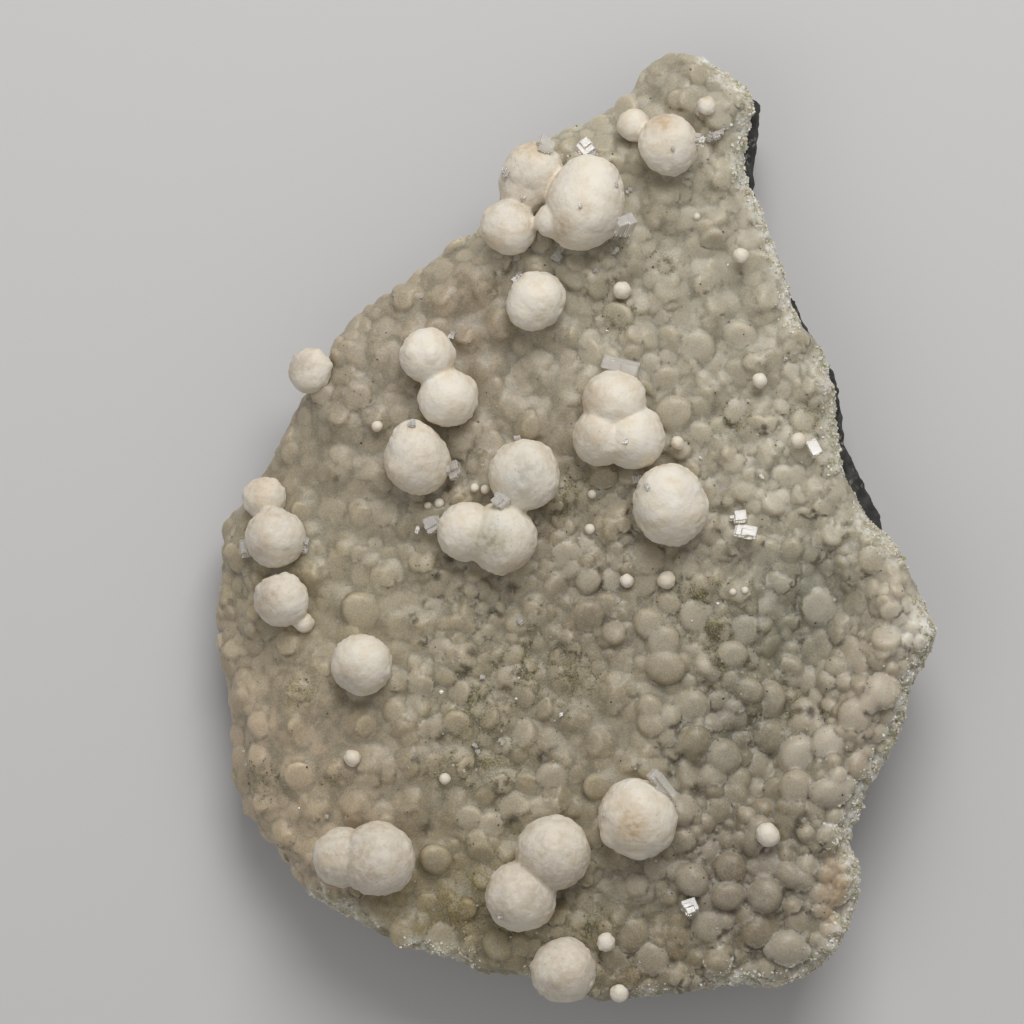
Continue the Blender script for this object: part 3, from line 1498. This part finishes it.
    def _grown(
        self, point: Vector, normal: Vector, size: float, sink: float, edge: float, chance: random.Random
    ) -> Pad:
        """One lump at a place on the plate.

        Args:
            point: The place, in millimetres.
            normal: Where the plate faces there.
            size: Its size against the usual one there.
            sink: How far its centre lies in the plate, as a share of its radius.
            edge: How far the broken edge is.
            chance: What its form is drawn from.

        Returns:
            The lump.
        """
        bold, calm = self.boldness(point.x, point.y), self.calm(point.x, point.y)
        radius = self.lump_radius(point.x, point.y) * size
        if edge < self.rind_width:
            radius = min(radius, 1.1 + 1.5 * edge / self.rind_width)
        lean = any_way(chance)
        lean = (lean - normal * lean.dot(normal)).normalized()
        tilt = math.radians(chance.uniform(4.0, 26.0)) * (1.0 - 0.8 * calm)
        axis = (normal * math.cos(tilt) + lean * math.sin(tilt)).normalized()
        height = (0.45 + 0.37 * bold - 0.19 * calm) * chance.uniform(0.85, 1.15)
        sides = (chance.uniform(0.86, 1.22), chance.uniform(0.84, 1.08), height)
        depth = radius * (sink + 0.16 * calm + chance.uniform(-0.08, 0.10) - 0.04 * bold)
        fullness, spin = 3.1 - 0.7 * bold, chance.uniform(0.0, math.pi)
        return Pad(point - normal * depth, radius, axis, sides, spin, fullness, radius * height - depth)

    def _add_companions(self, pad: Pad, ground: Ground, chance: random.Random) -> None:
        """Grows a few lumps onto the side of a large one, so that they merge into one form.

        Args:
            pad: The large lump.
            ground: The plate.
            chance: What they are drawn from.
        """
        for _ in range(chance.randint(1, self.companions)):
            angle = chance.uniform(0.0, math.tau)
            away = pad.radius * chance.uniform(0.70, 1.0)
            x, y = pad.centre.x + away * math.cos(angle), pad.centre.y + away * math.sin(angle)
            hit = ground.top(x, y)
            if hit is None or abs(hit[0].z - pad.centre.z) > pad.radius * 1.6:
                continue
            edge = float(distance_to_broken_edge(np.array([[x, y]]))[0])
            other = self._grown(hit[0], hit[1], chance.uniform(0.6, 1.0), self.sinks[0], edge, chance)
            if self._has_room(other, self.companion_spacing):
                self._keep(other._replace(group=pad.group))

    def _cell(self, point: Vector) -> tuple[int, int, int]:
        """The cell of the search grid that a point lies in."""
        return tuple(int(math.floor(side / self.cell)) for side in point)

    def _keep(self, pad: Pad) -> None:
        """Takes a lump into the crust and the search grid."""
        self.pads.append(pad)
        self.cells.setdefault(self._cell(pad.centre), []).append(pad)

    def _has_room(self, pad: Pad, spacing: float) -> bool:
        """Whether a lump stands clear enough of the balls and of the lumps already there.

        Args:
            pad: The lump.
            spacing: How far apart centres are, in shares of the mean radius.

        Returns:
            True where it does.
        """
        if any((pad.centre - ball.centre).length < ball.radius * 0.8 for ball in self.balls):
            return False
        x, y, z = self._cell(pad.centre)
        for dx, dy, dz in product((-1, 0, 1), repeat=3):
            for other in self.cells.get((x + dx, y + dy, z + dz), ()):
                if (pad.centre - other.centre).length < spacing * (pad.radius + other.radius) / 2:
                    return False
        return True

    def _fracture_blocks(self, base: bpy.types.Mesh) -> Iterator[Maker]:
        """Angular grains in the broken sides.

        Args:
            base: The plate.

        Returns:
            A function for each, which adds it.
        """
        points, normals = points_of(base), normals_of(base)
        edge = distance_to_broken_edge(points[:, :2])
        side = np.flatnonzero((edge < self.rind_width) & (normals[:, 2] < 0.7) & (normals[:, 2] > -0.5))
        chance = random.Random(self.seed)
        for index in chance.sample(list(side), min(self.fracture_grains, len(side))):
            size = Vector(drawn(chance, 0.8, 2.4))
            turn = Euler(drawn(chance, 0.0, math.tau))
            inward = Vector(normals[index]) * chance.uniform(0.5, 1.1)
            yield block_maker(Vector(points[index]) - inward, size, turn)

    def _thinned(self, mesh: bpy.types.Mesh) -> bpy.types.Mesh:
        """The skin with fewer triangles, first on its hidden underside and then everywhere.

        Args:
            mesh: The skin.

        Returns:
            The thinner mesh.
        """
        normals = normals_of(mesh)
        points = points_of(mesh)
        edge = distance_to_broken_edge(points[:, :2])
        hidden = np.flatnonzero((normals[:, 2] < -0.45) & (edge > 3.0))
        total = triangles_in(mesh)
        share = len(hidden) / len(points)
        LOG.info("crust skin: %d triangles, %.2f of them hidden", total, share)
        obj = new_object("thinning", mesh)
        group = obj.vertex_groups.new(name="hidden")
        group.add([int(index) for index in hidden], 1.0, "REPLACE")
        modifier = obj.modifiers.new("underside", "DECIMATE")
        modifier.vertex_group = group.name
        modifier.vertex_group_factor = 1.0
        modifier.ratio = 1.0 - share * (1.0 - self.hidden_share)
        thinner = evaluated(obj)
        LOG.info("crust skin after the underside: %d triangles", triangles_in(thinner))
        ratio = self.triangles / triangles_in(thinner)
        return shaped(thinner, ("DECIMATE", {"ratio": ratio, "use_collapse_triangulate": True}))

    def _roughen(self, mesh: bpy.types.Mesh) -> None:
        """Gives the lumps a slightly uneven skin, and the broken sides a rough one.

        Args:
            mesh: The crust.
        """
        points, normals = points_of(mesh), normals_of(mesh)
        places = vectors(points)
        broken = np.maximum(*self._broken(points, normals))
        rise = noise_at(places, 1.7) * self.roughness
        rise = rise + noise_at(places, 0.8) * broken * self.rind_roughness
        move_points(mesh, points + normals * rise[:, None])

    def _broken(self, points: np.ndarray, normals: np.ndarray) -> tuple[np.ndarray, np.ndarray]:
        """How much each point lies in the whitish rind, and in the bare fibrous rock.

        Args:
            points: The points, one row each, in millimetres.
            normals: Their normals.

        Returns:
            Two numbers from 0 to 1 for each point.
        """
        flat = points[:, :2]
        edge = distance_to_broken_edge(flat)
        side = smoothstep(0.75, 0.35, normals[:, 2])
        band = smoothstep(self.rind_width, 1.2, edge)
        rind = np.maximum(band, side * smoothstep(8.0, 5.0, edge))
        for place, reach in self.bare_edges:
            rind *= 1.0 - 0.92 * fade(flat, place, reach, 4)
        away = np.linalg.norm((flat - np.array(self.rock_place)) / self.rock_reach, axis=1)
        return rind, smoothstep(0.3, 0.75, np.exp(-(away**2)))

    def _paint(self, mesh: bpy.types.Mesh, base: bpy.types.Mesh) -> None:
        """Keeps on the points what the finish reads: colour, creases, tint, dirt, rind and bare rock.

        Args:
            mesh: The crust.
            base: The plate without its lumps.
        """
        points, normals = points_of(mesh), normals_of(mesh)
        flat = points[:, :2]
        store_colour(mesh, "ground", self._ground(flat))
        joints = self._joints(points)
        crease = joints["crease"]
        calm = np.array([self.calm(x, y) for x, y in flat])
        turned = normals @ np.array(self.gap_side)
        open_here = smoothstep(-0.12, 0.18, noise_at(vectors(points), 5.5)) * (1.0 - 0.55 * calm)
        cracks = smoothstep(0.45, 0.88, crease) * smoothstep(0.0, 0.36, turned) * open_here
        cracks = np.maximum(cracks, self._any_spot(flat, self.pockets, 4) * smoothstep(0.0, 0.30, crease))
        edges = 3.6 * crease * (1.0 - crease) * smoothstep(0.0, 0.35, turned) * open_here
        rims = np.maximum(joints["rim"] * (1.0 - 0.6 * calm), edges - cracks)
        low = smoothstep(0.60, 0.15, self._heights(points, base))
        rind, rock = self._broken(points, normals)
        shares = {
            "tint": joints["tint"],
            "rim": np.clip(rims, 0.0, 1.0),
            "shade": np.maximum(joints["shade"] * (1.0 - 0.4 * calm), cracks),
            "crack": cracks,
            "dirt": self._any_spot(flat, self.dirt_places) * low * (0.20 + 0.80 * crease),
            "rind": rind,
            "rock": rock,
        }
        for name, values in shares.items():
            store_share(mesh, name, values)

    def _ground(self, flat: np.ndarray) -> np.ndarray:
        """The colour of the lumps from place to place.

        Args:
            flat: One row of x and y for each point, in millimetres.

        Returns:
            One linear colour for each point.
        """
        weights = np.zeros(len(flat))
        ground = np.zeros((len(flat), 3))
        for zone in self.zones:
            weight = fade(flat, zone.place, zone.reach) + 1e-6
            ground += weight[:, None] * np.array(zone.colour)
            weights += weight
        ground /= weights[:, None]
        for shade in self.shades:
            ground *= np.array(shade.colour) ** fade(flat, shade.place, shade.reach)[:, None]
        return np.clip(ground * np.array(self.overall), 0.0, 0.95)

    def _any_spot(self, flat: np.ndarray, spots: tuple[Spot, ...], power: int = 2) -> np.ndarray:
        """How far each place lies in any of some spots.

        Args:
            flat: One row of x and y for each place, in millimetres.
            spots: The spots.
            power: How steeply they end.

        Returns:
            A number from 0 to 1 for each place.
        """
        most = np.zeros(len(flat))
        for place, reach in spots:
            most = np.maximum(most, fade(flat, place, reach, power))
        return most

    def _heights(self, points: np.ndarray, base: bpy.types.Mesh) -> np.ndarray:
        """How far each point stands over the plate.

        Args:
            points: The points, one row each, in millimetres.
            base: The plate.

        Returns:
            A number for each point, from 0 in the plate to 1 on a high lump.
        """
        tree = tree_of(base)
        heights = np.zeros(len(points))
        for row, point in enumerate(points):
            place = Vector(point) * MM
            foot, normal, _, _ = tree.find_nearest(place)
            heights[row] = (place - foot).dot(normal) / MM
        return smoothstep(0.0, self.full_height, heights)

    def _tints(self, tree: KDTree) -> list[float]:
        """How milky each lump is, from 0 to 1: more where its group stands out over its neighbours.

        Args:
            tree: The centres of the lumps.

        Returns:
            One number for each lump.
        """
        levels: dict[int, list[float]] = {}
        for pad in self.pads:
            near = tree.find_range(pad.centre, self.neighbour_reach)
            beside = [self.pads[index].rise for _, index, _ in near]
            levels.setdefault(pad.group, []).append((pad.rise - sum(beside) / len(beside)) / 1.3)
        tints = []
        for pad in self.pads:
            level = sum(levels[pad.group]) / len(levels[pad.group])
            own = random.Random(pad.group).uniform(-0.22, 0.22) + 0.30 * level
            own *= 1.0 - 0.70 * self.calm(pad.centre.x, pad.centre.y)
            tints.append(clamp(0.5 + own))
        return tints

    def _joints(self, points: np.ndarray) -> dict[str, np.ndarray]:
        """What the places where lumps meet look like.

        Args:
            points: The points, one row each, in millimetres.

        Returns:
            Numbers from 0 to 1 for each point: the tint of its lump, the rim of a lump over a lower one, the
            shade at the foot of a higher one, and the crease between any two.
        """
        tree = KDTree(len(self.pads))
        for index, pad in enumerate(self.pads):
            tree.insert(pad.centre, index)
        tree.balance()
        tints = self._tints(tree)
        turns = [
            (pad.axis.to_track_quat("Z", "Y").to_matrix() @ Matrix.Rotation(pad.spin, 3, "Z")).transposed()
            for pad in self.pads
        ]
        found = {name: np.zeros(len(points)) for name in ("tint", "rim", "shade", "crease")}
        for row, point in enumerate(points):
            gaps = []
            for centre, index, _ in tree.find_n(Vector(point), 7):
                pad = self.pads[index]
                own = turns[index] @ (Vector(point) - centre)
                a, b, c = pad.sides
                out = pad.reach(math.hypot(own.x / a, own.y / b), abs(own.z / c))
                gaps.append((out - pad.radius, index))
            gaps.sort()
            (nearest, mine), (second, other) = gaps[0], gaps[1]
            outside = clamp((nearest - 0.10) / 0.5)
            close = 1.0 - clamp((second - nearest) / 0.8)
            over = clamp((tints[mine] - tints[other]) * 5.0, -1.0)
            found["tint"][row] = tints[mine] * (1.0 - outside) + 0.22 * outside
            found["rim"][row] = close * max(0.0, over) * (1.0 - outside)
            found["shade"][row] = max(close * max(0.0, -over), 0.6 * outside)
            found["crease"][row] = 1.0 - clamp((second - 0.05) / 0.9)
        return found


@dataclass
class BasaltMatrix:
    """The slab of rock under the crust, with broken sides and a trimmed flat back."""

    node: str = "basalt_matrix"
    skin: float = 1.35
    roughness: float = 1.1
    ridge_size: float = 7.0
    grain_size: float = 2.6
    flat_back: float = 0.6
    crust_height: Span = (9.0, 17.0)

    def build(self, material: bpy.types.Material) -> bpy.types.Mesh:
        """Builds the slab from its solid, with rough broken faces.

        Args:
            material: The finish of the basalt.

        Returns:
            The finished mesh.
        """
        mesh = shaped(copied_solid(self.node), one_skin(self.skin), softened(2))
        points, normals = points_of(mesh), normals_of(mesh)
        free = smoothstep(self.flat_back, 3.0, points[:, 2])
        places = vectors(points)
        ridged = 1.0 - 2.0 * abs(noise_at(places, self.ridge_size))
        rise = ridged * 0.8 + noise_at(places, self.grain_size) * 0.6 - 0.5
        points += normals * (rise * self.roughness * free)[:, None]
        low, _ = box_of(self.node)
        points[:, 2] = np.maximum(points[:, 2], low.z)
        move_points(mesh, points)
        store_share(mesh, "near_crust", smoothstep(*self.crust_height, points[:, 2]))
        Piece("basalt_slab", mesh, material, "basalt", (self.node,)).place()
        return mesh


@dataclass
class ClearCrystals:
    """Clear blocky crystals with stepped faces."""

    cut_width: float = 0.22
    blocks: dict[str, tuple[Triple, Triple]] = field(
        default_factory=lambda: {
            "block_on_centre_right": ((7.4, 4.4, 4.6), (9, -8, -14)),
            "frame_on_low_right": ((8.6, 3.2, 3.4), (-12, 16, -52)),
            "point_by_upper": ((4.2, 3.0, 5.0), (-20, 24, 24)),
            "wedge_on_upper": ((4.0, 3.8, 4.2), (-14, 10, 38)),
            "wedge_left_of_upper": ((3.6, 3.6, 3.4), (-14, 16, -30)),
            "block_by_left_mid": ((3.6, 4.0, 3.4), (-18, -12, 20)),
            "block_by_left_edge": ((2.8, 4.6, 3.0), (-20, -14, 8)),
            "block_on_middle": ((3.8, 3.8, 3.0), (-22, 8, 42)),
            "wedge_by_middle": ((3.6, 4.0, 3.4), (-10, -20, 30)),
            "cube_above_right": ((3.4, 3.0, 2.8), (-18, 4, 6)),
            "cube_below_right": ((4.8, 2.8, 2.8), (-22, -8, -12)),
            "cube_by_right_bead": ((2.8, 3.6, 2.8), (-16, 6, 26)),
            "cube_in_lower_field": ((3.8, 3.8, 3.0), (-20, 10, 18)),
        }
    )

    def build(self, material: bpy.types.Material) -> None:
        """Builds each crystal in the place of its solid.

        Args:
            material: The finish of the crystals.
        """
        for number, (crystal, (size, turn)) in enumerate(self.blocks.items()):
            node = "crystal_" + crystal
            low, high = box_of(node)
            rotation = Euler([math.radians(angle) for angle in turn])
            maker = crystal_maker((low + high) / 2, Vector(size), rotation, random.Random(300 + number))
            mesh = build_in_batches(node, [maker])
            mark_cut_edges(mesh, self.cut_width)
            Piece(crystal, mesh, material, "clear_crystal", (node,), False).place()


@dataclass
class SmallGrowth:
    """What is too small for solids: tiny beads, small crystals, rind grains, dirt, specks and glints."""

    tiny_beads: tuple[Triple, ...] = (
        (-33.1, 5.5, 1.2), (-48.0, 24.0, 1.4), (3.1, -0.7, 1.3), (-31.7, -60.7, 1.4),
        (28.8, 74.4, 0.9), (3.6, 7.7, 1.1), (40.3, -15.4, 0.9), (37.4, -15.8, 0.9),
        (-35.8, 5.0, 0.9), (-24.6, 9.2, 1.1), (-22.0, 8.8, 1.2),
    )
    small_crystals: tuple[Triple, ...] = (
        (-31.0, 13.9, 1.5), (-28.8, 11.0, 1.2), (-39.4, 24.2, 1.5), (-30.0, 45.8, 1.6),
        (-65.3, -4.6, 1.8), (15.1, 11.5, 1.9), (-14.4, 59.5, 1.5), (-14.4, 65.0, 1.4),
        (-3.6, 65.5, 2.0), (28.6, 91.9, 1.9), (-16.9, 84.6, 1.4), (27.1, -91.0, 1.4),
        (-32.6, -40.1, 1.0), (-18.0, -51.8, 1.0), (-13.2, -22.6, 1.0), (-23.3, -36.2, 1.0),
        (-24.0, -54.5, 1.0), (-25.0, -52.6, 0.9), (-14.5, 20.5, 1.0), (-22.0, 15.0, 0.9),
        (12.5, 80.5, 1.1), (9.0, 66.0, 1.2), (-38.0, -1.0, 1.2), (-4.0, -45.0, 0.8),
        (30.0, 16.0, 0.8), (44.0, 12.0, 0.8), (50.0, 40.0, 0.9), (-60.0, -70.0, 0.8),
        (33.4, 95.0, 2.0), (31.5, 92.9, 1.5), (2.7, 89.0, 1.9), (22.6, 90.0, 0.8),
        (-18.2, -93.4, 0.8), (6.2, -68.9, 0.8), (9.1, 81.4, 0.8), (0.5, 76.1, 0.8),
        (41.0, -1.7, 1.3), (10.5, 70.6, 1.9), (-33.5, 1.2, 1.6), (16.8, 8.8, 1.4),
        (-12.8, 78.3, 0.8), (11.6, 20.0, 0.8), (-18.5, 5.6, 1.3), (4.0, 61.0, 0.9),
    )
    crumbs: tuple[Crumb, ...] = (
        Crumb("rind_grains", 5200, (0.2, 0.75), "rind", "chalcedony"),
        Crumb("olive_grains", 1700, (0.16, 0.5), "olive", "basalt"),
        Crumb("dark_specks", 620, (0.14, 0.42), "dark", "basalt"),
        Crumb("glints", 240, (0.3, 0.75), "crystal", "clear_crystal"),
    )
    crystal_cut_width: float = 0.12
    crumb_cut_width: float = 0.10
    seed: int = 19

    def build(self, crust: bpy.types.Mesh, ground: Ground, finishes: dict[str, bpy.types.Material]) -> None:
        """Builds the small things on what carries them.

        Args:
            crust: The crust, whose points know where its rind and its dirt are.
            ground: What the things stand on.
            finishes: The materials by name.
        """
        chance = random.Random(self.seed)
        makers = []
        for x, y, radius in self.tiny_beads:
            point, _ = ground.top(x, y)
            makers.append(ball_maker(Lump(point + Vector((0.0, 0.0, radius * 0.35)), radius), 3))
        Piece("tiny_beads", self._plain("tiny_beads", makers), finishes["gyrolite"], "gyrolite").place()
        makers = []
        for x, y, size in self.small_crystals:
            hit = ground.top(x, y)
            if hit is None:
                LOG.warning("nothing under the small crystal at %.1f, %.1f", x, y)
                continue
            makers += self._twinned(hit[0], hit[1], size, chance)
        mesh = build_in_batches("small_crystals", makers)
        mark_cut_edges(mesh, self.crystal_cut_width)
        Piece("small_crystals", mesh, finishes["crystal"], "clear_crystal", (), False).place()
        rind, dirt = (self._read(crust, name) for name in ("rind", "dirt"))
        open_faces = (normals_of(crust)[:, 2] > 0.2) * (1.0 - rind)
        for crumb, likely in zip(self.crumbs, (rind, dirt, open_faces, open_faces * (0.2 + dirt))):
            self._scatter(crumb, crust, likely, finishes[crumb.finish])

    def _twinned(self, point: Vector, normal: Vector, size: float, chance: random.Random) -> Iterator[Maker]:
        """Two or three crystals of nearly the same direction, side by side.

        Args:
            point: What they stand on, in millimetres.
            normal: Where it faces.
            size: Their usual side.
            chance: What they are drawn from.

        Returns:
            A function for each, which adds it.
        """
        base = Euler([chance.uniform(-0.7, 0.1), chance.uniform(-0.4, 0.4), chance.uniform(-0.8, 0.8)])
        for _ in range(chance.randint(2, 3)):
            turn = Euler([angle + chance.uniform(-0.12, 0.12) for angle in base])
            sides = Vector([size * share for share in drawn(chance, 0.7, 1.3)])
            beside = Vector([size * share for share in drawn(chance, -0.5, 0.5)])
            yield crystal_maker(point + normal * size * 0.15 + beside, sides, turn, chance)

    def _plain(self, name: str, makers: list[Maker]) -> bpy.types.Mesh:
        """A mesh of bodies, with the numbers that the gyrolite's finish reads.

        Args:
            name: Its name.
            makers: What adds the bodies.

        Returns:
            The mesh.
        """
        mesh = build_in_batches(name, makers)
        nothing = np.zeros(len(mesh.vertices))
        store_share(mesh, "stain_share", nothing)
        store_share(mesh, "foot", nothing)
        return mesh

    def _read(self, mesh: bpy.types.Mesh, name: str) -> np.ndarray:
        """The numbers kept on the mesh's points under a name.

        Args:
            mesh: The mesh.
            name: The attribute's name.

        Returns:
            One number for each point.
        """
        values = np.empty(len(mesh.vertices), np.float32)
        mesh.attributes[name].data.foreach_get("value", values)
        return values.astype(float)

    def _scatter(
        self, crumb: Crumb, crust: bpy.types.Mesh, likely: np.ndarray, material: bpy.types.Material
    ) -> None:
        """Scatters grains over the crust.

        Args:
            crumb: The kind of grain.
            crust: The crust.
            likely: How likely a grain is at each of its points.
            material: The grains' finish.
        """
        points, normals = points_of(crust), normals_of(crust)
        likely = np.where((likely > 0.15) & (normals[:, 2] > -0.3), likely, 0.0)
        chance = np.random.default_rng(self.seed)
        makers = []
        low, high = crumb.sizes
        for index in chance.choice(len(points), crumb.count, replace=False, p=likely / likely.sum()):
            size = low + (high - low) * chance.uniform() ** 2
            sides = Vector([size * share for share in drawn(chance, 0.6, 1.2)])
            turn = Euler(drawn(chance, 0.0, math.tau))
            inward = Vector(normals[index]) * size * chance.uniform(0.0, 0.25)
            makers.append(block_maker(Vector(points[index]) - inward, sides, turn))
        mesh = build_in_batches(crumb.name, makers)
        mark_cut_edges(mesh, self.crumb_cut_width)
        Piece(crumb.name, mesh, material, crumb.slot, (), False).place()


@dataclass
class Studio:
    """A pale floor, a soft light from the specimen's top and a camera straight over it."""

    aim: Place = (-15.6, 3.4)
    view_width: float = 245.8
    view_level: float = 36.0
    distance: float = 1300.0
    sensor: float = 36.0
    lights: tuple[tuple[str, Triple, float, float], ...] = (
        ("key", (0.14, 0.85, 0.98), 0.75, 12.0),
        ("fill", (-0.55, -0.25, 0.95), 0.8, 1.2),
    )
    floor_size: float = 3.0
    floor_colour: Colour = (0.62, 0.61, 0.60)
    floor_shade: Colour = (0.58, 0.57, 0.56)
    world_strength: float = 0.30

    def build(self) -> None:
        """Sets up the floor, the lights, the world and the camera."""
        self._floor()
        for light in self.lights:
            self._light(*light)
        world = bpy.data.worlds.new("studio")
        world.use_nodes = True
        background = world.node_tree.nodes["Background"]
        background.inputs["Color"].default_value = (1.0, 1.0, 1.0, 1.0)
        background.inputs["Strength"].default_value = self.world_strength
        scene = bpy.context.scene
        scene.world = world
        scene.view_settings.view_transform = "Standard"
        self._camera()

    def _floor(self) -> None:
        """A plain floor under the specimen."""
        bm = bmesh.new()
        bmesh.ops.create_grid(bm, x_segments=2, y_segments=2, size=self.floor_size)
        floor = new_object("floor", mesh_from(bm, "floor"))
        finish = Finish("floor_matt", Roughness=0.9)
        cloud = finish.clouds(900.0, 1.0)
        finish.dress(finish.mix(cloud * 0.1, self.floor_colour, self.floor_shade))
        floor.data.materials.append(finish.material)

    def _light(self, name: str, place: Triple, size: float, power: float) -> None:
        """Adds a square soft light that points at the specimen.

        Args:
            name: Its name.
            place: Where it is, in metres.
            size: How wide it is, in metres.
            power: Its power, in watts.
        """
        light = bpy.data.lights.new(name, "AREA")
        light.size = size
        light.energy = power
        obj = new_object(name, light)
        obj.location = place
        obj.rotation_euler = (-Vector(place)).to_track_quat("-Z", "Y").to_euler()

    def _camera(self) -> None:
        """A camera straight over the specimen, as far off as a studio camera."""
        camera = bpy.data.cameras.new("camera")
        camera.sensor_width = self.sensor
        camera.lens = self.sensor * self.distance / self.view_width
        obj = new_object("camera", camera)
        obj.location = (self.aim[0] * MM, self.aim[1] * MM, (self.view_level + self.distance) * MM)
        bpy.context.scene.camera = obj


def main() -> None:
    """Builds the specimen from its matrix up, and the studio round it."""
    logging.basicConfig(level=logging.INFO, format="%(relativeCreated)6d ms  %(message)s")
    gyrolite = GyroliteFinish().material()
    crystal = ClearCrystalFinish().material()
    basalt = BasaltMatrix().build(BasaltFinish().material())
    balls = GyroliteBalls()
    balls.seat()
    crust = ChalcedonyCrust().build(balls.balls, ChalcedonyFinish().material())
    ball_meshes = balls.build(gyrolite)
    ClearCrystals().build(crystal)
    rind = GrainFinish("rind_grain", (0.80, 0.77, 0.68), (0.52, 0.46, 0.33), (0.34, 0.36, 0.18))
    finishes = {
        "gyrolite": gyrolite,
        "crystal": crystal,
        "rind": rind.material(),
        "olive": GrainFinish("olive_dirt", (0.42, 0.38, 0.20), (0.13, 0.10, 0.045)).material(),
        "dark": GrainFinish("dark_speck", (0.045, 0.035, 0.02), (0.10, 0.075, 0.04)).material(),
    }
    SmallGrowth().build(crust, Ground(basalt, crust, *ball_meshes), finishes)
    Studio().build()


if __name__ == "__main__":
    main()
